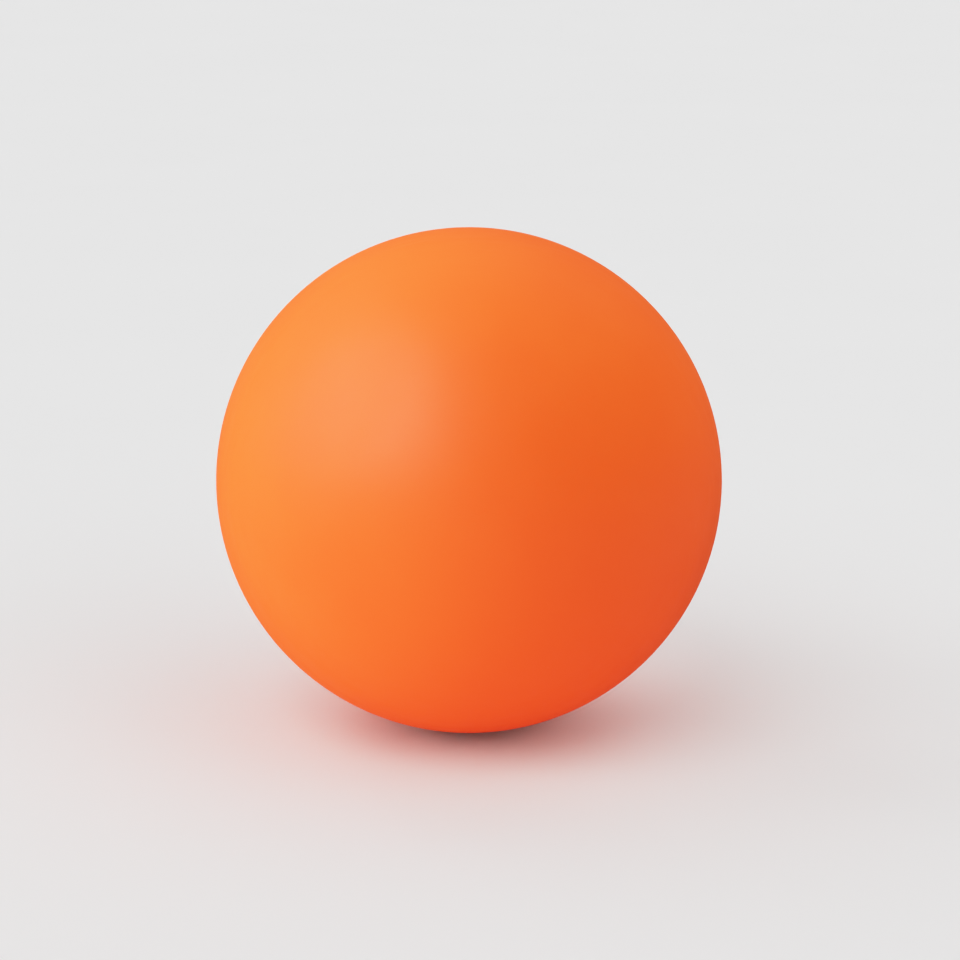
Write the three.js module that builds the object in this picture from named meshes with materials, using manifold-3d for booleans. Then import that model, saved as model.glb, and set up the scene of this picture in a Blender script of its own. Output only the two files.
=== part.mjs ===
// Massage ball: a firm rubber core in two soft half shells, inside one seamless silicone skin.
//
// Every piece is a body of revolution about Y, apart from the studs that key the core. +Z is up, +Y points
// to the back, where the skin's port is, and the origin is the centre of the ball. Sizes are millimetres.

import Module from 'manifold-3d';
import * as THREE from 'three';
import { mergeVertices } from 'three/addons/utils/BufferGeometryUtils.js';

const wasm = await Module();
wasm.setup();

// Driving dimensions
const ballDiameter = 65;
const skinWall = 4;
const softWall = 10; // the soft halves, between skin and core
const bondGap = 0.3; // the line of adhesive between one piece and the next

const plugHeadDiameter = 10;
const plugHeadThickness = 2.2; // from the ball's surface to the shoulder, on the plug's axis
const plugStemDiameter = 5;
const socketDepth = 8; // how far the core's socket goes in from the core's surface

const barbHeight = 0.5; // how far a barb stands out from the stem
const barbLength = 1.6;
const barbPitch = 3;

const studDiameter = 5;
const studHeight = 2.5; // above the core's surface
const studCount = 4;

const tongueWidth = 3; // the ring on the front half that sits in the rear half's groove
const tongueHeight = 2;

// Fineness of the round surfaces
const segments = 40; // round the Y axis
const ringsPerQuarter = 10; // from a sphere's equator to its pole
const studSegments = 20;
const tiny = 1e-6; // two latitudes closer than this are the same
const weldDistance = 1e-4; // corners closer than this are one corner

// Radii and places that follow from the driving dimensions
const ballRadius = ballDiameter / 2;
const skinInnerRadius = ballRadius - skinWall;
const softOuterRadius = skinInnerRadius - bondGap;
const softInnerRadius = softOuterRadius - softWall;
const coreRadius = softInnerRadius - bondGap;

const plugHeadRadius = plugHeadDiameter / 2;
const plugStemRadius = plugStemDiameter / 2;
const barbRadius = plugStemRadius + barbHeight;
const boreRadius = barbRadius + bondGap;
const shoulderY = ballRadius - plugHeadThickness;
const socketFloorY = coreRadius - socketDepth;
const stemTipY = socketFloorY + bondGap;

const studTipRadius = coreRadius + studHeight; // how far a stud's tip is from the ball's centre
const tongueRadius = (studTipRadius + bondGap + softOuterRadius) / 2; // the middle of the tongue

const corner = (radius, y) => new THREE.Vector2(radius, y);

const northPole = Math.PI / 2;
const southPole = -Math.PI / 2;

// The latitudes at which a sphere is a given distance from the Y axis, and at which it has a given Y.
const latitudeAt = (radius, distance) => Math.acos(distance / radius);
const latitudeOf = (radius, y) => Math.asin(y / radius);

// Points on a sphere's outline about the origin, from one latitude to another. Rings lie at the same
// latitudes on every sphere, so that neighbouring surfaces stay parallel.
function arc(radius, fromLatitude, toLatitude) {
  const [low, high] = [fromLatitude, toLatitude].sort((a, b) => a - b);
  const rings = [];
  for (let ring = 1 - ringsPerQuarter; ring < ringsPerQuarter; ring += 1) {
    const latitude = ring * northPole / ringsPerQuarter;
    if (latitude > low + tiny && latitude < high - tiny) rings.push(latitude);
  }
  if (fromLatitude > toLatitude) rings.reverse();
  return [fromLatitude, ...rings, toLatitude].map((latitude) => onSphere(radius, latitude));
}

// The point of a sphere's outline at a latitude, exactly on the axis at the poles.
function onSphere(radius, latitude) {
  const isPole = northPole - Math.abs(latitude) < tiny;
  return corner(isPole ? 0 : radius * Math.cos(latitude), radius * Math.sin(latitude));
}

function solidOf(geometry) {
  const bare = geometry.clone();
  bare.deleteAttribute('normal');
  bare.deleteAttribute('uv');
  const merged = mergeVertices(bare, weldDistance);
  return new wasm.Manifold(new wasm.Mesh({
    numProp: 3,
    vertProperties: merged.attributes.position.array,
    triVerts: new Uint32Array(merged.index.array),
  }));
}

function geometryOf(solid) {
  const { vertProperties, triVerts } = solid.getMesh();
  const geometry = new THREE.BufferGeometry();
  geometry.setAttribute('position', new THREE.BufferAttribute(vertProperties, 3));
  geometry.setIndex(new THREE.BufferAttribute(triVerts, 1));
  geometry.computeVertexNormals();
  return geometry;
}

const turned = (outline) => new THREE.LatheGeometry(outline, segments);

// Round rods in a ring in the XZ plane, each from inside the core out to a tip radius.
function studRods(radius, tipRadius) {
  const rootRadius = coreRadius / 2;
  const length = tipRadius - rootRadius;
  return Array.from({ length: studCount }, (_, index) => {
    const rod = new THREE.CylinderGeometry(radius, radius, length, studSegments);
    rod.translate(0, tipRadius - length / 2, 0);
    rod.rotateX(Math.PI / 2);
    rod.rotateY(index * 2 * Math.PI / studCount);
    return solidOf(rod);
  });
}

// A hollow sphere with a stepped port at the back: a wide seat for the plug's head, then a bore.
function skinGeometry() {
  const seatRadius = plugHeadRadius + bondGap;
  const seatY = shoulderY - bondGap;
  return turned([
    ...arc(ballRadius, southPole, latitudeAt(ballRadius, seatRadius)),
    corner(seatRadius, seatY),
    corner(boreRadius, seatY),
    ...arc(skinInnerRadius, latitudeAt(skinInnerRadius, boreRadius), southPole),
  ]);
}

// A head that continues the ball's surface, and a stem with barbs that reaches into the core.
function plugGeometry() {
  const outline = [corner(0, stemTipY), corner(plugStemRadius, stemTipY)];
  const lastBarbTop = shoulderY - barbPitch;
  for (let y = stemTipY + barbPitch; y + barbLength < lastBarbTop; y += barbPitch) {
    outline.push(corner(plugStemRadius, y));
    outline.push(corner(barbRadius, y + barbLength));
    outline.push(corner(plugStemRadius, y + barbLength));
  }
  outline.push(corner(plugStemRadius, shoulderY));
  outline.push(corner(plugHeadRadius, shoulderY));
  outline.push(...arc(ballRadius, latitudeAt(ballRadius, plugHeadRadius), northPole));
  return turned(outline);
}

// The front half: its rim is flat, apart from the tongue that stands up from it.
function softShellFrontGeometry() {
  const face = -bondGap / 2;
  const half = tongueWidth / 2;
  const halfShell = turned([
    ...arc(softOuterRadius, southPole, latitudeOf(softOuterRadius, face)),
    corner(tongueRadius + half, face),
    corner(tongueRadius + half, face + tongueHeight),
    corner(tongueRadius - half, face + tongueHeight),
    corner(tongueRadius - half, face),
    ...arc(softInnerRadius, latitudeOf(softInnerRadius, face), southPole),
  ]);
  return withStudSockets(halfShell);
}

// The rear half: a groove for the tongue in its rim, and a bore for the plug's stem.
function softShellRearGeometry() {
  const face = bondGap / 2;
  const half = tongueWidth / 2 + bondGap;
  const halfShell = turned([
    corner(tongueRadius + half, face),
    ...arc(softOuterRadius, latitudeOf(softOuterRadius, face), latitudeAt(softOuterRadius, boreRadius)),
    ...arc(softInnerRadius, latitudeAt(softInnerRadius, boreRadius), latitudeOf(softInnerRadius, face)),
    corner(tongueRadius - half, face),
    corner(tongueRadius - half, face + tongueHeight),
    corner(tongueRadius + half, face + tongueHeight),
    corner(tongueRadius + half, face),
  ]);
  return withStudSockets(halfShell);
}

// A half shell with a half-round pocket in its rim for each of the core's studs.
function withStudSockets(halfShell) {
  const sockets = studRods(studDiameter / 2 + bondGap, studTipRadius + bondGap);
  return geometryOf(sockets.reduce((shell, socket) => shell.subtract(socket), solidOf(halfShell)));
}

// The firm ball in the middle, with a blind socket at the back and a ring of studs.
function coreGeometry() {
  const ball = turned([
    ...arc(coreRadius, southPole, latitudeAt(coreRadius, boreRadius)),
    corner(boreRadius, socketFloorY),
    corner(0, socketFloorY),
  ]);
  const studs = studRods(studDiameter / 2, studTipRadius);
  return geometryOf(studs.reduce((core, stud) => core.add(stud), solidOf(ball)));
}

function piece(name, geometry, color, roughness) {
  const material = new THREE.MeshStandardMaterial({ color, roughness, metalness: 0 });
  const mesh = new THREE.Mesh(geometry, material);
  mesh.name = name;
  return mesh;
}

const massageBall = new THREE.Group();
massageBall.add(
  piece('skin', skinGeometry(), 0xfb6a26, 0.6),
  piece('port_plug', plugGeometry(), 0xf9651f, 0.6),
  piece('soft_shell_front', softShellFrontGeometry(), 0xd8d2c6, 0.75),
  piece('soft_shell_rear', softShellRearGeometry(), 0xd8d2c6, 0.75),
  piece('core', coreGeometry(), 0x35363a, 0.55),
);

export default massageBall;
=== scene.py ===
# Massage ball: a soft-touch orange silicone skin over two soft half shells and a firm rubber core.
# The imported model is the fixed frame. Each shown piece is a surface worked out here with numpy: a closed
# profile, given as distance from the Y axis and y, is carried once round that axis.
import math

import bpy
import numpy as np
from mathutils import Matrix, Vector


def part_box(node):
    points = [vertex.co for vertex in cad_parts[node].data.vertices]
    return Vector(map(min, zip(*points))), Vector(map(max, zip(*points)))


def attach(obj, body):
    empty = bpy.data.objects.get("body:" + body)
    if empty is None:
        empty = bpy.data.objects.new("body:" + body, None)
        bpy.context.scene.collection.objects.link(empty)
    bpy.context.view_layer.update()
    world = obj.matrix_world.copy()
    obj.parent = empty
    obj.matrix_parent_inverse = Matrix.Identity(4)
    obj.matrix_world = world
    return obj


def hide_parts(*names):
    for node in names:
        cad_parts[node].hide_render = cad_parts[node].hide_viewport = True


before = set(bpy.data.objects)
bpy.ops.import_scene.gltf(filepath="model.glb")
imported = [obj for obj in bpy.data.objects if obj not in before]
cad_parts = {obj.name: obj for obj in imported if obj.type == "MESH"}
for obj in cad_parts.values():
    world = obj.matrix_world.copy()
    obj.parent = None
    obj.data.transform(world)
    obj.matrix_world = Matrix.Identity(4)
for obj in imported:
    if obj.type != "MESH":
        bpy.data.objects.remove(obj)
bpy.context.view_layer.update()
print("frame loaded:", ", ".join(sorted(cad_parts)))

scene = bpy.context.scene
mm = 0.001
quarterTurn = math.pi / 2
fullTurn = 2 * math.pi

# What the frame says. Every node is turned about Y, so its half width along X is its largest radius.
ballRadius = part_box("skin")[1].x
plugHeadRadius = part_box("port_plug")[1].x
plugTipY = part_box("port_plug")[0].y
softOuterRadius = -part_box("soft_shell_front")[0].y
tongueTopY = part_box("soft_shell_front")[1].y
coreRadius = -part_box("core")[0].y
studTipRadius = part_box("core")[1].x

# What several pieces share
bondGap = 0.3 * mm  # the line of adhesive between one piece and the next
skinWall = 4 * mm
boreRadius = 3.3 * mm  # the round way in for the plug's stem
studRadius = 2.5 * mm
studCount = 4
studSpacing = fullTurn / studCount
seatRadius = plugHeadRadius + bondGap
skinInnerRadius = ballRadius - skinWall
softInnerRadius = coreRadius + bondGap

# How finely the shared outline helpers round a corner
roundingPlan = {
    "share": 0.3,  # a rounding never takes more of an edge than this
    "rows": 8,  # points on a rounded corner
    "guard": 1.6,  # how far from the corner its edge is held flat, in roundings
    "rimRows": 13,  # points on the edge of a round hole in a sphere
    "rimGuard": 0.6,  # how far past that edge its wall is held straight, in roundings
}


def smoothStep(low, high, x):
    # 0 below low, 1 above high and 3 u^2 - 2 u^3 between, where u is how far x has come
    u = np.clip((x - low) / (high - low), 0, 1)
    return u * u * (3 - 2 * u)


def arcLine(radius, fromAngle, toAngle, count):
    # points (radius cos a, radius sin a) on a circle about the origin, from one latitude to another
    a = np.linspace(fromAngle, toAngle, count)
    line = radius * np.stack([np.cos(a), np.sin(a)], axis=-1)
    line[np.abs(a) > quarterTurn - 1e-9, 0] = 0  # a pole lies exactly on the axis
    return line


def roundedProfile(*stretches):
    # Joins stretches of corners into one line and rounds each corner by its stretch's radius. A rounded
    # corner C becomes a circle's arc that touches both its edges at A and B, radius tan(turn / 2) from C.
    # For s from 0 to 1 and w = cos(turn / 2) it is
    # ((1 - s)^2 A + 2 w s (1 - s) C + s^2 B) / ((1 - s)^2 + 2 w s (1 - s) + s^2).
    # A point a little before A and one after B keep the shading of the edges flat.
    corners = np.vstack([np.reshape(points, (-1, 2)) for points, rounding in stretches])
    rounding = np.concatenate([np.full(np.size(points) // 2, rounding) for points, rounding in stretches])
    toLast = np.roll(corners, 1, axis=0) - corners
    toNext = np.roll(corners, -1, axis=0) - corners
    lastLength = np.linalg.norm(toLast, axis=1)
    nextLength = np.linalg.norm(toNext, axis=1)
    toLast /= lastLength[:, None]
    toNext /= nextLength[:, None]
    turn = math.pi - np.arccos(np.clip(np.sum(toLast * toNext, axis=1), -1, 1))
    room = roundingPlan["share"] * np.minimum(lastLength, nextLength)
    sharpest = 3  # in radians: just under a full reversal, where the tangent has no end
    reach = np.minimum(rounding * np.tan(np.minimum(turn, sharpest) / 2), room)[:, None]
    s = np.linspace(0, 1, roundingPlan["rows"])[:, None, None]
    w = np.cos(turn / 2)[:, None]
    shareA, shareC, shareB = (1 - s) ** 2, 2 * w * s * (1 - s), s ** 2
    arcs = shareA * (corners + toLast * reach) + shareC * corners + shareB * (corners + toNext * reach)
    arcs = arcs / (shareA + shareC + shareB)
    before = corners + roundingPlan["guard"] * toLast * reach
    after = corners + roundingPlan["guard"] * toNext * reach
    line = np.concatenate([before[None], arcs, after[None]]).transpose(1, 0, 2)
    keep = np.ones(line.shape[:2], bool)
    keep[rounding == 0, 1:] = False
    return line[keep]


def roundedRim(sphereRadius, wallRadius, rounding, side):
    # The rim where a sphere meets a round wall along Y: centre + rounding (cos a, sin a), an arc that touches
    # the sphere from inside and the wall from its material's side. Side is 1 where the material is outside
    # the wall and -1 where it is inside. The line runs from the sphere to the wall and a little way along it.
    centreRadius = wallRadius + side * rounding
    centreY = math.sqrt((sphereRadius - rounding) ** 2 - centreRadius ** 2)
    touch = math.atan2(centreY, centreRadius)
    a = np.linspace(touch, math.pi if side > 0 else 0, roundingPlan["rimRows"])
    rim = np.stack([centreRadius + rounding * np.cos(a), centreY + rounding * np.sin(a)], axis=-1)
    wallPoint = [wallRadius, centreY - roundingPlan["rimGuard"] * rounding]
    return np.vstack([rim, wallPoint]), touch


def turned(profile, t):
    # a profile (radius, y) carried round the Y axis: x = radius cos t, z = radius sin t
    radius, y, t = np.broadcast_arrays(profile[..., 0], profile[..., 1], t)
    return np.stack([radius * np.cos(t), y, radius * np.sin(t)], axis=-1)


def ringOf(profile, turns):  # the same profile at every one of so many even turns
    return turned(profile[:, None], np.linspace(0, fullTurn, turns, endpoint=False)[None])


def makePiece(name, grid, poles=True):
    # A closed surface from a grid of points: rows along the profile, columns round the axis. With poles, the
    # first and last rows are one point each. Without, the last row joins the first.
    rows, columns = grid.shape[:2]
    here = np.arange(columns)
    after = np.roll(here, -1)
    if poles:
        points = np.vstack([grid[0, :1], grid[1:-1].reshape(-1, 3), grid[-1, :1]])
        start = 1 + columns * np.arange(rows - 3)[:, None]
        beyond = start + columns
        lastRow = 1 + columns * (rows - 3)
        fans = np.vstack([
            np.stack([np.zeros_like(here), 1 + here, 1 + after], axis=-1),
            np.stack([lastRow + here, np.full_like(here, len(points) - 1), lastRow + after], axis=-1),
        ]).tolist()
    else:
        points = grid.reshape(-1, 3)
        start = columns * np.arange(rows)[:, None]
        beyond = np.roll(start, -1, axis=0)
        fans = []
    quads = np.stack([start + here, beyond + here, beyond + after, start + after], axis=-1)
    mesh = bpy.data.meshes.new(name)
    mesh.from_pydata(points.tolist(), [], quads.reshape(-1, 4).tolist() + fans)
    mesh.polygons.foreach_set("use_smooth", np.ones(len(mesh.polygons), bool))
    mesh.validate()
    mesh.update()
    piece = bpy.data.objects.new(name, mesh)
    scene.collection.objects.link(piece)
    print(name + ":", len(mesh.polygons), "faces")
    return piece


skinLook = {
    "seatDepth": 2.5 * mm,  # from the ball's surface, on the axis, to the floor of the plug's seat
    "lipRounding": 0.16 * mm,  # the edge of the port
    "cornerRounding": 0.3 * mm,
    "turns": 256,
    "outerRows": 170,
    "innerRows": 84,
}


def makeSkin(look):
    # one closed profile: outer sphere, port lip and stepped seat, then the inner sphere back to the front
    lip, touch = roundedRim(ballRadius, seatRadius, look["lipRounding"], 1)
    seatY = ballRadius - look["seatDepth"]
    boreAngle = math.acos(boreRadius / skinInnerRadius)
    profile = roundedProfile(
        (arcLine(ballRadius, -quarterTurn, touch, look["outerRows"])[:-1], 0),
        (lip, 0),
        ([[seatRadius, seatY], [boreRadius, seatY]], look["cornerRounding"]),
        (arcLine(skinInnerRadius, boreAngle, -quarterTurn, look["innerRows"]), 0),
    )
    return makePiece("ball_skin", ringOf(profile, look["turns"]))


plugLook = {
    "headPlay": 0.015 * mm,  # between the swollen head and its seat
    "headThickness": 2.2 * mm,
    "edgeRounding": 0.16 * mm,
    "stemRadius": 2.5 * mm,
    "barbHeight": 0.5 * mm,
    "barbLength": 1.6 * mm,
    "barbPitch": 3 * mm,
    "barbCount": 5,
    "barbRounding": 0.14 * mm,
    "tipRounding": 0.5 * mm,
    "gateRadius": 0.85 * mm,  # the shallow dimple where the plug was cut from its runner
    "gateDepth": 0.09 * mm,
    "gateFlat": 0.4,  # the part of the dimple's radius that is at its full depth
    "crownRows": 48,
    "turns": 128,
}


def makePlug(look):
    # stem: a round rod with one ramp and one step for each barb. head: the ball's own sphere less a dimple,
    # y = sqrt(ballRadius^2 - r^2) - gateDepth (1 - smoothStep(gateFlat gateRadius, gateRadius, r))
    stemRadius = look["stemRadius"]
    headRadius = seatRadius - look["headPlay"]
    shoulderY = ballRadius - look["headThickness"]
    starts = plugTipY + look["barbPitch"] * np.arange(1, look["barbCount"] + 1)
    barbRadius = stemRadius + look["barbHeight"]
    radii = np.tile([stemRadius, barbRadius, stemRadius], look["barbCount"])
    heights = starts[:, None] + look["barbLength"] * np.array([0, 1, 1])
    barbs = np.stack([radii, heights.ravel()], axis=-1)
    edge, touch = roundedRim(ballRadius, headRadius, look["edgeRounding"], -1)
    r = np.linspace(ballRadius * math.cos(touch), 0, look["crownRows"])[1:]
    gateRadius = look["gateRadius"]
    dimple = look["gateDepth"] * (1 - smoothStep(look["gateFlat"] * gateRadius, gateRadius, r))
    crown = np.stack([r, np.sqrt(ballRadius ** 2 - r ** 2) - dimple], axis=-1)
    profile = roundedProfile(
        ([[0, plugTipY]], 0),
        ([[stemRadius, plugTipY]], look["tipRounding"]),
        (barbs, look["barbRounding"]),
        ([[stemRadius, shoulderY], [headRadius, shoulderY]], look["tipRounding"]),
        (edge[::-1], 0),
        (crown, 0),
    )
    return makePiece("ball_plug", ringOf(profile, look["turns"]))


coreLook = {
    "socketDepth": 8 * mm,
    "mouthRounding": 0.5 * mm,
    "studRounding": 0.4 * mm,
    "tipFlat": 0.7,  # the part of a stud's tip, from its middle, that has even rings
    "tipRows": 6,
    "footAngle": math.radians(11),  # the first ring on the core's sphere outside a stud, seen from the centre
    "footRows": 7,
    "discAngle": math.radians(12.5),  # the grid's rings round a stud are round within this of its middle
    "patchAngle": math.radians(22),  # and square, as the rest of the grid, from here on
    "gapColumns": 18,
    "poleRows": 27,
}


def studOutline(look):
    # a stud's outline, (distance from its own axis, height along it): flat tip, wall, and the core's sphere
    m = np.linspace(0, look["tipFlat"] * studRadius, look["tipRows"])
    tip = np.stack([m, np.full_like(m, studTipRadius)], axis=-1)
    rootHeight = math.sqrt(coreRadius ** 2 - studRadius ** 2)
    around = np.linspace(look["footAngle"], look["patchAngle"], look["footRows"])
    onCore = coreRadius * np.stack([np.sin(around), np.cos(around)], axis=-1)
    wall = [[studRadius, studTipRadius], [studRadius, rootHeight]]
    return roundedProfile((tip, 0), (wall, look["studRounding"]), (onCore, 0))


def makeCore(look):
    # A sphere whose grid bends into round rings about each stud. Near a stud the direction of a point is the
    # mean of two, weighted by smoothStep: m away from the stud's axis at the angle phi round it, and the
    # plain latitude and longitude. Its distance from the centre is the stud's outline at m, the larger of its
    # two grid offsets.
    outline = studOutline(look)
    ringAngle = np.arctan2(outline[:, 0], outline[:, 1])
    ringRadius = np.hypot(outline[:, 0], outline[:, 1])
    patch = look["patchAngle"]
    nearStud = np.concatenate([-ringAngle[:0:-1], ringAngle])
    betweenStuds = np.linspace(patch, studSpacing - patch, look["gapColumns"])[1:-1]
    t = (studSpacing * np.arange(studCount)[:, None] + np.concatenate([nearStud, betweenStuds])).ravel()
    mouth, touch = roundedRim(coreRadius, boreRadius, look["mouthRounding"], 1)
    latitude = np.concatenate([
        np.linspace(-quarterTurn, -patch, look["poleRows"])[:-1],
        nearStud,
        np.linspace(patch, touch, look["poleRows"])[1:-1],
    ])[:, None]
    away = t - studSpacing * np.round(t / studSpacing)  # from the nearest stud
    m = np.maximum(np.abs(away), np.abs(latitude))
    phi = np.arctan2(latitude, away)
    ringWay = np.stack([np.cos(m), np.sin(m) * np.cos(phi), np.sin(m) * np.sin(phi)], axis=-1)
    plainWay = np.stack(np.broadcast_arrays(
        np.cos(latitude) * np.cos(away), np.cos(latitude) * np.sin(away), np.sin(latitude)), axis=-1)
    share = smoothStep(look["discAngle"], patch, m)[..., None]
    way = share * plainWay + (1 - share) * ringWay
    way /= np.linalg.norm(way, axis=-1, keepdims=True)
    out, aside, up = np.moveaxis(way * np.interp(m, ringAngle, ringRadius)[..., None], -1, 0)
    stud = t - away
    x = out * np.cos(stud) - aside * np.sin(stud)
    z = out * np.sin(stud) + aside * np.cos(stud)
    sphere = np.stack([x, up, z], axis=-1)
    floorY = coreRadius - look["socketDepth"]
    socket = roundedProfile(
        (mouth, 0), ([[boreRadius, floorY]], look["mouthRounding"]), ([[0, floorY]], 0))
    return makePiece("ball_core", np.vstack([sphere, turned(socket[:, None], t[None])]))


softLook = {
    "tongueWidth": 3 * mm,
    "rimRounding": 0.35 * mm,
    "tongueRounding": 0.3 * mm,
    "boreRounding": 0.4 * mm,
    "gapColumns": 24,  # columns from one stud's pocket to the next
    "gapAngle": math.radians(17),  # where those columns start, from the middle of a pocket
    "pocketColumns": 19,
    "besideColumns": [1.1, 1.3, 1.6],  # on each side of a pocket, in its own radii
    "endRise": 0.25,  # a pocket's end wall stands upright where it is deeper than this, in its own radii
    "floorRows": 6,
    "rimStart": 4 * bondGap,  # the first point of the flat rim, outwards from the pockets' ends
    "inset": math.radians(1.6),  # keeps a sphere's nearest point clear of the rounding at its edge
    "outerRows": 62,
    "innerRows": 40,
}
pocketRadius = studRadius + bondGap
pocketTip = studTipRadius + bondGap
rimY = bondGap / 2
tongueRadius = (pocketTip + softOuterRadius) / 2  # the middle of the tongue, halfway across the rim


def shellColumns(look):
    # Columns round the axis. In and beside a pocket they run parallel to its axis, pocketRadius sin b away
    # from it, and between the pockets they are evenly spread. Gives each column's angle, its distance from
    # the pocket's axis and the depth of the half-round pocket there, sqrt(pocketRadius^2 - distance^2).
    inside = pocketRadius * np.sin(np.linspace(-quarterTurn, quarterTurn, look["pocketColumns"]))
    beside = pocketRadius * np.array(look["besideColumns"])
    aside = np.concatenate([-beside[::-1], inside, beside])
    between = np.linspace(look["gapAngle"], studSpacing - look["gapAngle"], look["gapColumns"])
    angle = np.concatenate([np.zeros_like(aside), between])
    depth = np.sqrt(np.maximum(pocketRadius ** 2 - aside ** 2, 0))
    aside = np.concatenate([aside, np.zeros_like(between)])
    depth = np.concatenate([depth, np.zeros_like(between)])
    pocketAngle = studSpacing * np.arange(studCount)[:, None]
    return (pocketAngle + angle).ravel(), np.tile(aside, studCount), np.tile(depth, studCount)


def pocketRows(look, depth):
    # The rim from outside a pocket to the inner sphere: down the pocket's end wall, then straight along its
    # floor, (1 - share) wallFoot + share endRadius. Gives those rows and the latitude at which they reach the
    # sphere.
    reach = np.sqrt(pocketRadius ** 2 - depth ** 2)  # a column's distance from the pocket's axis
    low = np.maximum(depth, rimY)
    wallRadius = np.sqrt(pocketTip ** 2 + reach ** 2)
    endRadius = np.sqrt(softInnerRadius ** 2 - low ** 2)
    # between the pockets the rim is flat, so there the foot moves in and stays clear of the wall's top
    wallFoot = wallRadius - bondGap * (1 - smoothStep(0, look["endRise"] * pocketRadius, depth))
    share = np.linspace(0, 1, look["floorRows"])[:, None]
    floorRadius = (1 - share) * wallFoot + share * endRadius
    top = np.stack([wallRadius, np.full_like(depth, rimY)], axis=-1)[None]
    floor = np.stack([floorRadius, np.broadcast_to(low, floorRadius.shape)], axis=-1)
    return np.concatenate([top, floor]), np.arcsin(low / softInnerRadius)


def makeShell(name, look, side):
    # A half shell, from its rim at the equator to its pole. Side is -1 for the front half, with a tongue on
    # its rim and a whole pole, and 1 for the rear half, with a groove in its rim and a bore for the plug's
    # stem. Each column is a closed profile, and stands at its own angle + asin(aside / radius), parallel to
    # its pocket's axis.
    angle, aside, depth = shellColumns(look)
    pocket, startAngle = pocketRows(look, depth)
    half = look["tongueWidth"] / 2 + (bondGap if side > 0 else 0)
    across = [tongueRadius + half, tongueRadius - half]
    inset = look["inset"]
    rimCorner = [math.sqrt(softOuterRadius ** 2 - rimY ** 2), rimY]
    endAngle = math.acos(boreRadius / softInnerRadius) if side > 0 else quarterTurn
    share = np.linspace(0, 1, look["innerRows"])[1:, None]
    a = (1 - share) * startAngle + share * endAngle
    inner = softInnerRadius * np.stack([np.cos(a), np.sin(a)], axis=-1)
    # both halves are written with their pole up; the front half's tongue then stands down from its rim
    ridgeY = rimY + side * (tongueTopY + rimY)
    ridge = [[across[0], rimY], [across[0], ridgeY], [across[1], ridgeY], [across[1], rimY]]
    rim = roundedProfile(
        ([[pocketTip + look["rimStart"], rimY]], 0),
        (ridge[::-1], look["tongueRounding"]),
        ([rimCorner], look["rimRounding"]),
        (arcLine(softOuterRadius, inset, 2 * inset, 2), 0),
    )[:-1]
    if side > 0:
        boreTop = math.acos(boreRadius / softOuterRadius)
        boreEnds = [softOuterRadius * math.sin(boreTop), softInnerRadius * math.sin(endAngle)]
        outer = roundedProfile(
            (arcLine(softOuterRadius, inset, boreTop - inset, look["outerRows"])[1:], 0),
            ([[boreRadius, y] for y in boreEnds], look["boreRounding"]),
            (arcLine(softInnerRadius, endAngle - inset, endAngle - inset, 1), 0),
        )[:-1]
        inner = inner[:-1]  # the bore's rounded corner stands for the sphere's last point
    else:
        outer = arcLine(softOuterRadius, inset, quarterTurn, look["outerRows"])[1:]
        inner[-1, :, 0] = 0
    wide = np.ones((1, len(angle), 1))
    profile = np.concatenate([rim[:, None] * wide, outer[:, None] * wide, inner[::-1], pocket[::-1]])
    if side < 0:  # start and end at the poles, then turn the pole to the front
        cut = len(rim) + len(outer)
        profile = np.concatenate([profile[cut:], profile[:cut]])[::-1] * [1, -1]
    innerReach = math.sqrt(softInnerRadius ** 2 - pocketRadius ** 2)
    outerReach = math.sqrt(pocketTip ** 2 + pocketRadius ** 2)
    t = angle + np.arcsin(aside / np.clip(profile[..., 0], innerReach, outerReach))
    return makePiece(name, turned(profile, t), poles=side < 0)


def addNode(tree, kind, settings=None, inputs=None):
    # a node with its settings, and with its inputs linked from sockets or set to plain values
    node = tree.nodes.new(kind)
    for name, value in (settings or {}).items():
        setattr(node, name, value)
    for name, value in (inputs or {}).items():
        if isinstance(value, bpy.types.NodeSocket):
            tree.links.new(value, node.inputs[name])
        else:
            node.inputs[name].default_value = value
    return node


def mathNode(tree, operation, *values):
    return addNode(tree, "ShaderNodeMath", {"operation": operation}, dict(enumerate(values))).outputs[0]


def noiseNode(tree, where, scale, detail, roughness):
    return addNode(tree, "ShaderNodeTexNoise", {"noise_dimensions": "3D"}, {
        "Vector": where, "Scale": scale, "Detail": detail, "Roughness": roughness}).outputs["Fac"]


def mixNode(tree, dataType, share, under, over):
    # under where the share is 0 and over where it is 1; a Mix node keeps sockets for every data type
    kind = {"FLOAT": 0, "RGBA": 2}[dataType]
    inputs = {"Factor": share, 2 + 2 * kind: under, 3 + 2 * kind: over}
    return addNode(tree, "ShaderNodeMix", {"data_type": dataType}, inputs).outputs[kind]


def rangeNode(tree, value, low, high, fromLow, fromHigh):
    # smoothly from low to high as the value crosses a range
    inputs = {"Value": value, "From Min": fromLow, "From Max": fromHigh, "To Min": low, "To Max": high}
    return addNode(tree, "ShaderNodeMapRange", {"interpolation_type": "SMOOTHSTEP"}, inputs).outputs["Result"]


def newGroup(name, inputs, output, outputType="NodeSocketFloat"):
    # an empty shader group with named inputs and one named output; gives the group, its inputs and its output
    group = bpy.data.node_groups.new(name, "ShaderNodeTree")
    for label, (socketType, value) in inputs.items():
        socket = group.interface.new_socket(label, in_out="INPUT", socket_type=socketType)
        if value is not None:
            socket.default_value = value
    group.interface.new_socket(output, in_out="OUTPUT", socket_type=outputType)
    entry = group.nodes.new("NodeGroupInput")
    result = group.nodes.new("NodeGroupOutput")
    return group, entry.outputs, result.inputs[output]


vectorInput = ("NodeSocketVector", None)
grainPlan = {"peelScale": 0.17}  # how many waves the orange peel has for each grain


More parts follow.
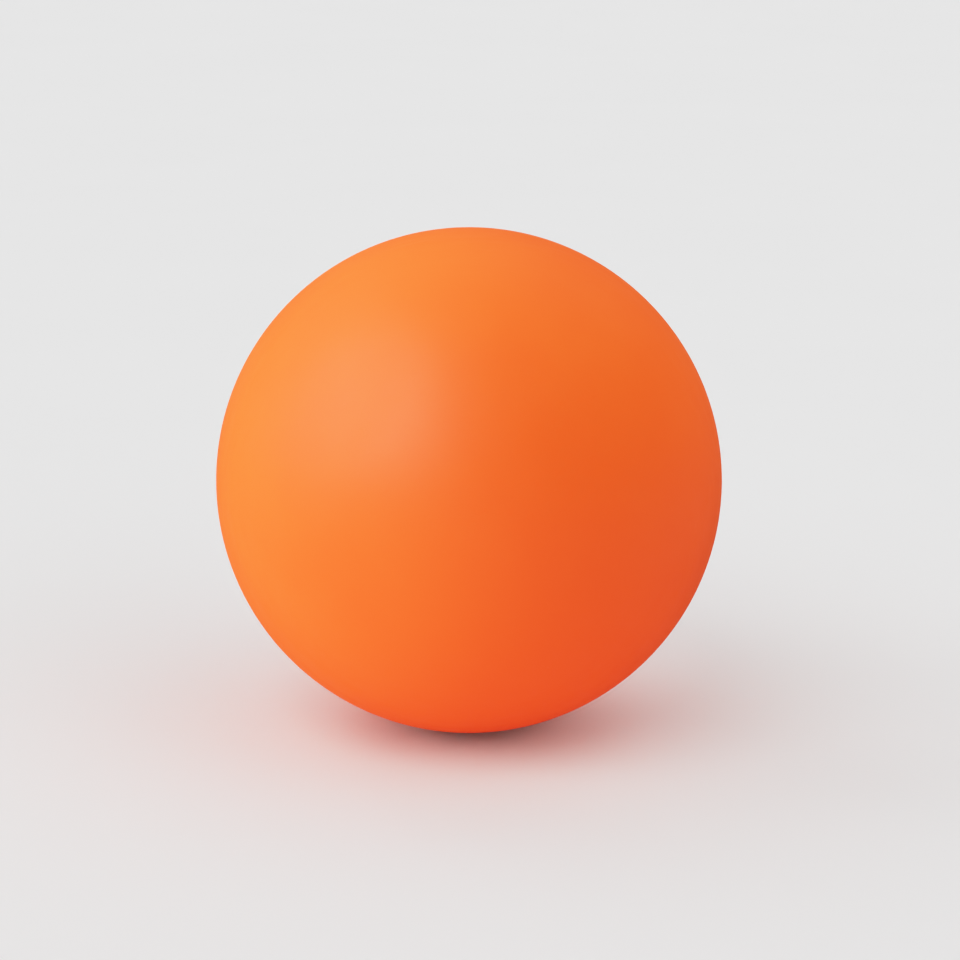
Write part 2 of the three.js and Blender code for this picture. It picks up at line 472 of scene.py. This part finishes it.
def makeMouldGrain():
    # the matt texture that a blasted mould leaves: fine pits over a coarser orange peel
    group, entry, result = newGroup("mouldGrain", {
        "Coordinates": vectorInput,
        "Grains per Metre": ("NodeSocketFloat", 4000.0),
        "Peel Share": ("NodeSocketFloat", 0.3),
    }, "Height")
    fine = noiseNode(group, entry["Coordinates"], entry["Grains per Metre"], detail=2.0, roughness=0.6)
    peelScale = mathNode(group, "MULTIPLY", entry["Grains per Metre"], grainPlan["peelScale"])
    peel = noiseNode(group, entry["Coordinates"], peelScale, detail=1.0, roughness=0.5)
    group.links.new(mixNode(group, "FLOAT", entry["Peel Share"], fine, peel), result)
    return group


def makeToneDrift():
    # slow clouds of a second colour, as where pigment settled a little differently in the mould
    group, entry, result = newGroup("toneDrift", {
        "Coordinates": vectorInput,
        "Clouds per Metre": ("NodeSocketFloat", 40.0),
        "Main Colour": ("NodeSocketColor", (0.5, 0.5, 0.5, 1)),
        "Second Colour": ("NodeSocketColor", (0.4, 0.4, 0.4, 1)),
    }, "Colour", "NodeSocketColor")
    cloud = noiseNode(group, entry["Coordinates"], entry["Clouds per Metre"], detail=3.0, roughness=0.55)
    share = rangeNode(group, cloud, 0.0, 1.0, fromLow=0.35, fromHigh=0.7)
    group.links.new(mixNode(group, "RGBA", share, entry["Main Colour"], entry["Second Colour"]), result)
    return group


hazePlan = {
    "smearTurn": (0.5, 0.3, 0.8),
    "smearStretch": (1.0, 4.5, 1.6),  # the smears are drawn out where this is small
    "smearScale": 2.2,  # how many smears there are for each patch
    "patchShare": 0.6,
    "smearShare": 0.4,
}


def makeHandlingHaze():
    # roughness between two values: broad patches that hands have polished, broken up by smears
    group, entry, result = newGroup("handlingHaze", {
        "Coordinates": vectorInput,
        "Patches per Metre": ("NodeSocketFloat", 60.0),
        "Polished": ("NodeSocketFloat", 0.4),
        "Fresh": ("NodeSocketFloat", 0.5),
    }, "Roughness")
    patch = noiseNode(group, entry["Coordinates"], entry["Patches per Metre"], detail=2.0, roughness=0.5)
    patchPart = mathNode(group, "MULTIPLY", patch, hazePlan["patchShare"])
    stretched = addNode(group, "ShaderNodeMapping", None, {
        "Vector": entry["Coordinates"], "Rotation": hazePlan["smearTurn"],
        "Scale": hazePlan["smearStretch"]}).outputs["Vector"]
    smearScale = mathNode(group, "MULTIPLY", entry["Patches per Metre"], hazePlan["smearScale"])
    smear = noiseNode(group, stretched, smearScale, detail=4.0, roughness=0.6)
    both = mathNode(group, "MULTIPLY_ADD", smear, hazePlan["smearShare"], patchPart)
    share = rangeNode(group, both, 0.0, 1.0, fromLow=0.38, fromHigh=0.62)
    group.links.new(mixNode(group, "FLOAT", share, entry["Polished"], entry["Fresh"]), result)
    return group


fleckPlan = {
    "smallest": 0.4,  # a speck's size is multiplied by this plus a random 0 to 1
    "solid": 0.6,  # the part of a speck's radius that is at full strength
}


def makeFleck():
    # a mask of scattered round specks: one in some cells of a Voronoi pattern, each with its own size
    group, entry, result = newGroup("fleck", {
        "Coordinates": vectorInput,
        "Cells per Metre": ("NodeSocketFloat", 900.0),
        "Share": ("NodeSocketFloat", 0.1),
        "Size": ("NodeSocketFloat", 0.25),
    }, "Mask")
    cells = addNode(group, "ShaderNodeTexVoronoi", {"feature": "F1"}, {
        "Vector": entry["Coordinates"], "Scale": entry["Cells per Metre"]})
    chance = addNode(group, "ShaderNodeSeparateColor", None, {"Color": cells.outputs["Color"]})
    chosen = mathNode(group, "LESS_THAN", chance.outputs["Red"], entry["Share"])
    ownSize = mathNode(group, "ADD", chance.outputs["Green"], fleckPlan["smallest"])
    size = mathNode(group, "MULTIPLY", entry["Size"], ownSize)
    solid = mathNode(group, "MULTIPLY", size, fleckPlan["solid"])
    inside = rangeNode(group, cells.outputs["Distance"], 1.0, 0.0, fromLow=solid, fromHigh=size)
    group.links.new(mathNode(group, "MULTIPLY", chosen, inside), result)
    return group


seamDustShadePlan = {"patchesPerMetre": 700.0, "thinnest": 0.35}  # the dust and the painted seam shade lie in patches, at least this strong


def makeSeamDustAndShade():
    # a mask for the fine dust and the painted shade in the port's seam: within a width of a circle round the
    # Y axis, at the back
    group, entry, result = newGroup("seamDustAndShade", {
        "Coordinates": vectorInput,
        "Seam Radius": ("NodeSocketFloat", 0.005),
        "Seam Width": ("NodeSocketFloat", 0.0005),
    }, "Mask")
    parts = addNode(group, "ShaderNodeSeparateXYZ", None, {"Vector": entry["Coordinates"]}).outputs
    zSquared = mathNode(group, "MULTIPLY", parts["Z"], parts["Z"])
    radius = mathNode(group, "SQRT", mathNode(group, "MULTIPLY_ADD", parts["X"], parts["X"], zSquared))
    off = mathNode(group, "ABSOLUTE", mathNode(group, "SUBTRACT", radius, entry["Seam Radius"]))
    near = rangeNode(group, off, 1.0, 0.0, fromLow=0.0, fromHigh=entry["Seam Width"])
    behind = mathNode(group, "GREATER_THAN", parts["Y"], 0.0)
    dust = noiseNode(group, entry["Coordinates"], seamDustShadePlan["patchesPerMetre"], detail=3.0, roughness=0.6)
    patchy = rangeNode(group, dust, seamDustShadePlan["thinnest"], 1.0, fromLow=0.3, fromHigh=0.65)
    group.links.new(mathNode(group, "MULTIPLY", mathNode(group, "MULTIPLY", near, behind), patchy), result)
    return group


mouldGrain = makeMouldGrain()
toneDrift = makeToneDrift()
handlingHaze = makeHandlingHaze()
fleck = makeFleck()
seamDustAndShade = makeSeamDustAndShade()
print("shared effects ready:", len(bpy.data.node_groups))


def newMaterial(name):
    # a material with its Principled shader and a piece's own Object coordinates
    material = bpy.data.materials.new(name)
    material.use_nodes = True
    tree = material.node_tree
    tree.nodes.clear()
    surface = tree.nodes.new("ShaderNodeBsdfPrincipled")
    output = tree.nodes.new("ShaderNodeOutputMaterial")
    tree.links.new(surface.outputs["BSDF"], output.inputs["Surface"])
    where = tree.nodes.new("ShaderNodeTexCoord").outputs["Object"]
    return material, tree, surface, where


def groupNode(tree, group, inputs):
    return addNode(tree, "ShaderNodeGroup", {"node_tree": group}, inputs).outputs[0]


def tinted(tree, mask, amount, under, over):
    # a colour laid over another where a mask is, at so much of its full strength
    return mixNode(tree, "RGBA", mathNode(tree, "MULTIPLY", mask, amount), under, over)


def roughened(tree, mask, amount, roughness):  # adds to a roughness where a mask is
    return mathNode(tree, "MULTIPLY_ADD", mask, amount, roughness)


def shaderValues(surface, values):
    for name, value in values.items():
        surface.inputs[name].default_value = value


def driftingTone(tree, where, finish):  # the finish's two tones in slow clouds
    return groupNode(tree, toneDrift, {
        "Coordinates": where, "Clouds per Metre": finish["cloudsPerMetre"], "Main Colour": finish["main"],
        "Second Colour": finish["second"]})


def specks(tree, where, finish, name):  # where the finish's lint, specks or crumbs are
    perMetre, share, size = finish[name]
    return groupNode(tree, fleck, {
        "Coordinates": where, "Cells per Metre": perMetre, "Share": share, "Size": size})


def handledRoughness(tree, where, finish):
    return groupNode(tree, handlingHaze, {
        "Coordinates": where, "Patches per Metre": finish["patchesPerMetre"], "Polished": finish["polished"],
        "Fresh": finish["fresh"]})


def finishSurface(tree, surface, where, finish, colour, roughness):
    # links a finish's colour and roughness, raises its grain, and sets what is the same all over the surface
    tree.links.new(colour, surface.inputs["Base Color"])
    tree.links.new(roughness, surface.inputs["Roughness"])
    grain = groupNode(tree, mouldGrain, {
        "Coordinates": where, "Grains per Metre": finish["grainsPerMetre"],
        "Peel Share": finish["peelShare"]})
    bump = addNode(tree, "ShaderNodeBump", None, {
        "Height": grain, "Strength": 1.0, "Distance": finish["grainDepth"]})
    tree.links.new(bump.outputs["Normal"], surface.inputs["Normal"])
    shaderValues(surface, finish["shader"])


skinFinish = {
    "main": (0.95, 0.128, 0.0165, 1),
    "second": (0.93, 0.118, 0.0147, 1),
    "cloudsPerMetre": 38.0,
    "grainsPerMetre": 5200.0,
    "peelShare": 0.35,
    "grainDepth": 0.004 * mm,
    "patchesPerMetre": 55.0,
    "polished": 0.41,
    "fresh": 0.48,
    "lint": (420.0, 0.03, 0.035),  # cells per metre, the share of cells with a speck, and its size in a cell
    "lintColour": (0.97, 0.42, 0.26, 1),
    "lintAmount": 0.25,
    "seamDustShadeColour": (0.42, 0.055, 0.014, 1),
    # a darker orange in the port's seam: partly dust, partly painted shade
    "seamDustShadeAmount": 0.75,
    "seamDustShadeWidth": 0.45 * mm,
    "grimeRoughness": 0.2,  # how much rougher the dust is
    "shader": {"Specular IOR Level": 0.13, "Sheen Weight": 0.01, "Sheen Roughness": 0.5,
               "Sheen Tint": (1, 0.6, 0.4, 1)},
}
plugFinish = dict(
    skinFinish, main=(0.93, 0.114, 0.018, 1), second=(0.9, 0.1, 0.016, 1), grainsPerMetre=6400.0,
    polished=0.44, fresh=0.52)


def softTouchSilicone(name, finish):
    # matt moulded silicone: blasted grain, slow tone drift, polished patches, rare lint, dust and painted
    # shade in the seam
    material, tree, surface, where = newMaterial(name)
    colour = driftingTone(tree, where, finish)
    lint = specks(tree, where, finish, "lint")
    seamDustShade = groupNode(tree, seamDustAndShade, {
        "Coordinates": where, "Seam Radius": seatRadius, "Seam Width": finish["seamDustShadeWidth"]})
    colour = tinted(tree, lint, finish["lintAmount"], colour, finish["lintColour"])
    # darkens the seam with dust and painted shade; the dust there is also rougher
    colour = tinted(tree, seamDustShade, finish["seamDustShadeAmount"], colour, finish["seamDustShadeColour"])
    roughness = roughened(tree, seamDustShade, finish["grimeRoughness"], handledRoughness(tree, where, finish))
    finishSurface(tree, surface, where, finish, colour, roughness)
    return material


softFinish = {
    "main": (0.68, 0.63, 0.55, 1),
    "second": (0.61, 0.56, 0.47, 1),
    "cloudsPerMetre": 70.0,
    "grainsPerMetre": 2600.0,
    "peelShare": 0.5,
    "grainDepth": 0.02 * mm,
    "patchesPerMetre": 120.0,
    "polished": 0.62,
    "fresh": 0.8,
    "flowPerMetre": 90.0,
    "flowStretch": (1.0, 7.0, 1.0),  # the flow lines are drawn out where this is small
    "flowColour": (0.56, 0.5, 0.41, 1),
    "flowAmount": 0.35,
    "filler": (520.0, 0.12, 0.09),  # as the skin's lint
    "fillerColour": (0.3, 0.25, 0.19, 1),
    "fillerAmount": 0.6,
    "shader": {"Specular IOR Level": 0.3, "Sheen Weight": 0.06, "Sheen Roughness": 0.6},
}


def softElastomer(name, finish):
    # milky soft elastomer: flow lines along the mould's parting, specks of undissolved filler, open grain
    material, tree, surface, where = newMaterial(name)
    colour = driftingTone(tree, where, finish)
    drawn = addNode(tree, "ShaderNodeMapping", None, {
        "Vector": where, "Scale": finish["flowStretch"]}).outputs["Vector"]
    streaks = noiseNode(tree, drawn, finish["flowPerMetre"], detail=4.0, roughness=0.55)
    flow = rangeNode(tree, streaks, 0.0, 1.0, fromLow=0.52, fromHigh=0.68)
    filler = specks(tree, where, finish, "filler")
    colour = tinted(tree, flow, finish["flowAmount"], colour, finish["flowColour"])
    colour = tinted(tree, filler, finish["fillerAmount"], colour, finish["fillerColour"])
    finishSurface(tree, surface, where, finish, colour, handledRoughness(tree, where, finish))
    return material


coreFinish = {
    "main": (0.035, 0.037, 0.042, 1),
    "second": (0.05, 0.05, 0.053, 1),
    "cloudsPerMetre": 110.0,
    "grainsPerMetre": 3000.0,
    "peelShare": 0.4,
    "grainDepth": 0.014 * mm,
    "patchesPerMetre": 140.0,
    "polished": 0.38,
    "fresh": 0.56,
    "crumb": (800.0, 0.3, 0.16),  # as the skin's lint
    "crumbColour": (0.16, 0.16, 0.165, 1),
    "crumbAmount": 0.7,
    "bloomPerMetre": 150.0,
    "bloomColour": (0.2, 0.2, 0.2, 1),
    "bloomAmount": 0.22,
    "bloomRoughness": 0.18,  # how much rougher the bloom is
    "shader": {"Specular IOR Level": 0.45},
}


def firmRubber(name, finish):
    # dense black rubber: pale crumbs of filler, a thin grey bloom in patches, satin where it was polished
    material, tree, surface, where = newMaterial(name)
    colour = driftingTone(tree, where, finish)
    crumbs = specks(tree, where, finish, "crumb")
    patches = noiseNode(tree, where, finish["bloomPerMetre"], detail=5.0, roughness=0.62)
    bloom = rangeNode(tree, patches, 0.0, 1.0, fromLow=0.5, fromHigh=0.72)
    colour = tinted(tree, crumbs, finish["crumbAmount"], colour, finish["crumbColour"])
    colour = tinted(tree, bloom, finish["bloomAmount"], colour, finish["bloomColour"])
    roughness = roughened(tree, bloom, finish["bloomRoughness"], handledRoughness(tree, where, finish))
    finishSurface(tree, surface, where, finish, colour, roughness)
    return material


softRubber = softElastomer("softElastomer", softFinish)
pieces = [
    (makeSkin(skinLook), "skin", "orange_silicone", softTouchSilicone("softTouchSilicone", skinFinish)),
    (makePlug(plugLook), "port_plug", "plug_silicone", softTouchSilicone("plugSilicone", plugFinish)),
    (makeShell("ball_soft_front", softLook, -1), "soft_shell_front", "soft_rubber", softRubber),
    (makeShell("ball_soft_rear", softLook, 1), "soft_shell_rear", "soft_rubber", softRubber),
    (makeCore(coreLook), "core", "core_rubber", firmRubber("firmRubber", coreFinish)),
]
for piece, node, slot, material in pieces:
    piece.data.materials.append(material)
    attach(piece, "root")
    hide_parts(node)
print("pieces ready:", ", ".join(piece.name for piece, node, slot, material in pieces))

floorLook = {
    "halfSide": 8.0,  # in metres
    "main": (0.945, 0.945, 0.945, 1),
    "second": (0.937, 0.937, 0.937, 1),
    "cloudsPerMetre": 14.0,
    "shader": {"Roughness": 1.0, "Specular IOR Level": 0.0},
}


def makeFloor(look):
    # one flat square under the ball, matt and pale, which the ball's gloss doesn't mirror
    side = look["halfSide"] * np.array([[-1, -1], [1, -1], [1, 1], [-1, 1]])
    corners = np.column_stack([side, np.full(4, -ballRadius)])
    mesh = bpy.data.meshes.new("floor")
    mesh.from_pydata(corners.tolist(), [], [(0, 1, 2, 3)])
    floor = bpy.data.objects.new("floor", mesh)
    scene.collection.objects.link(floor)
    material, tree, surface, where = newMaterial("paleFloor")
    tree.links.new(driftingTone(tree, where, look), surface.inputs["Base Color"])
    shaderValues(surface, look["shader"])
    mesh.materials.append(material)
    floor.visible_glossy = False
    return floor


floor = makeFloor(floorLook)

cameraPlan = {
    "elevation": 14.5,  # degrees above the floor
    "lens": 100.0,
    "ballShare": 0.527,  # the ball's part of the picture's width
    "offCentre": -0.0229,  # how far left of the middle it stands, in half widths
}


def makeCamera(plan):
    # looks at the ball's centre from the front; sin of the ball's half angle is its radius over the distance
    data = bpy.data.cameras.new("camera")
    data.lens = plan["lens"]
    data.shift_x = -plan["offCentre"] / 2
    halfWidth = data.sensor_width / 2 / data.lens
    distance = ballRadius / math.sin(math.atan(plan["ballShare"] * halfWidth))
    elevation = math.radians(plan["elevation"])
    back = Vector((0, -math.cos(elevation), math.sin(elevation)))
    camera = bpy.data.objects.new("camera", data)
    camera.location = back * distance
    camera.rotation_mode = "QUATERNION"
    camera.rotation_quaternion = (-back).to_track_quat("-Z", "Y")
    scene.collection.objects.link(camera)
    scene.camera = camera


makeCamera(cameraPlan)

# Each lamp: azimuth from the camera's side, positive to the right; elevation; width, all in degrees;
# strength; and its use. "all" lights everything, as a big soft box does. "floor" is flagged off the ball, and
# "ball" off the floor and kept from bouncing. "gloss" only shows in the ball's gloss, where no other lamp
# does. "glow" is the warm light thrown back and forth between the ball's underside and the floor, and "ember"
# the little of it that gets out to the floor.
lampPlan = {
    "lowLeft": (275, 5, 45, 0.495, "all"),
    "highFront": (325, 45, 45, 0.335, "all"),
    "back": (180, 40, 80, 0.25, "all"),
    "backLeft": (245, 30, 60, 0.22, "all"),
    "floorFront": (45, 45, 60, 0.118, "floor"),
    "floorRight": (90, 45, 60, 0.163, "floor"),
    "floorLow": (45, 12, 60, 0.283, "floor"),
    "keyLeft": (275, 5, 45, 0.86, "ball"),
    "key": (300, 15, 45, 0.685, "ball"),
    "highRight": (120, 60, 60, 0.99, "ball"),
    "highlight": (297, 39, 60, 1.75, "gloss"),
    "highlightFront": (330, 30, 40, 0.47, "gloss"),
    "edge": (255, 30, 60, 0.1, "gloss"),
    "underside": (20, -50, 60, 0.43, "glow"),
    "underFloor": (0, -75, 70, 0.089, "ember"),
}
glowColour = (1, 0.04, 0)
roomPlan = {
    "ambient": 0.15,  # soft light from all round
    "glossy": 0.05,  # what the ball's gloss shows of it
    "backdrop": 0.962,  # how bright the far wall looks
}


def makeLamps(plan):
    # each lamp is a broad sun; it shines from (sin az cos el, -cos az cos el, sin el)
    ballOnly = bpy.data.collections.new("ballOnly")
    floorOnly = bpy.data.collections.new("floorOnly")
    for piece, node, slot, material in pieces:
        ballOnly.objects.link(piece)
    floorOnly.objects.link(floor)
    for name, (azimuth, elevation, width, strength, use) in plan.items():
        data = bpy.data.lights.new(name, "SUN")
        data.energy = math.pi * strength
        data.angle = math.radians(width)
        lamp = bpy.data.objects.new(name, data)
        az, el = math.radians(azimuth), math.radians(elevation)
        way = Vector((math.sin(az) * math.cos(el), -math.cos(az) * math.cos(el), math.sin(el)))
        lamp.rotation_mode = "QUATERNION"
        lamp.rotation_quaternion = way.to_track_quat("Z", "Y")
        lamp.visible_diffuse = use != "gloss"
        lamp.visible_glossy = use == "gloss"
        if use in ("ball", "glow", "ember"):
            lamp.light_linking.receiver_collection = ballOnly
        if use == "floor":
            lamp.light_linking.receiver_collection = floorOnly
        if use in ("ball", "glow"):
            data.cycles.max_bounces = 0
            data.cycles.use_multiple_importance_sampling = False  # or part of its light is lost too
        if use in ("glow", "ember"):
            data.use_shadow = False  # the floor doesn't stop it
            data.color = glowColour
        scene.collection.objects.link(lamp)


def makeRoom(plan):
    # soft light from all round; where the camera sees past the floor, a wall as bright as the floor
    world = bpy.data.worlds.new("room")
    world.use_nodes = True
    tree = world.node_tree
    tree.nodes.clear()
    ray = addNode(tree, "ShaderNodeLightPath").outputs
    strength = mixNode(tree, "FLOAT", ray["Is Glossy Ray"], plan["ambient"], plan["glossy"])
    strength = mixNode(tree, "FLOAT", ray["Is Camera Ray"], strength, plan["backdrop"])
    background = addNode(tree, "ShaderNodeBackground", None, {"Color": (1, 1, 1, 1), "Strength": strength})
    output = tree.nodes.new("ShaderNodeOutputWorld")
    tree.links.new(background.outputs["Background"], output.inputs["Surface"])
    scene.world = world


makeLamps(lampPlan)
makeRoom(roomPlan)

filmPlan = {
    "shoulder": 0.5,  # the film is straight below this
    "white": 2.6,  # the brightest scene light that the curve reaches
    "steps": 8,  # points on its shoulder
}


def setFilm(plan):
    # The picture shows scene light x as it is up to the shoulder s, and above it as
    # s + (1 - s) (1 - exp(-(x - s) / (1 - s))), so that bright parts keep their colour.
    view = scene.view_settings
    view.view_transform = "Standard"
    view.use_curve_mapping = True
    mapping = view.curve_mapping
    mapping.white_level = [plan["white"]] * 3
    s = plan["shoulder"]
    light = np.concatenate([[0, s / 2], np.geomspace(s, plan["white"], plan["steps"])])
    shown = np.where(light < s, light, 1 - (1 - s) * np.exp(-(light - s) / (1 - s)))
    combined = 3  # after the curves for red, green and blue comes the one for all three
    points = mapping.curves[combined].points
    points[0].location = (0, 0)
    points[1].location = (1, float(shown[-1]))
    for x, y in zip(light[1:-1] / plan["white"], shown[1:-1]):
        points.new(float(x), float(y))
    mapping.update()


setFilm(filmPlan)
print("camera, lamps and film ready")
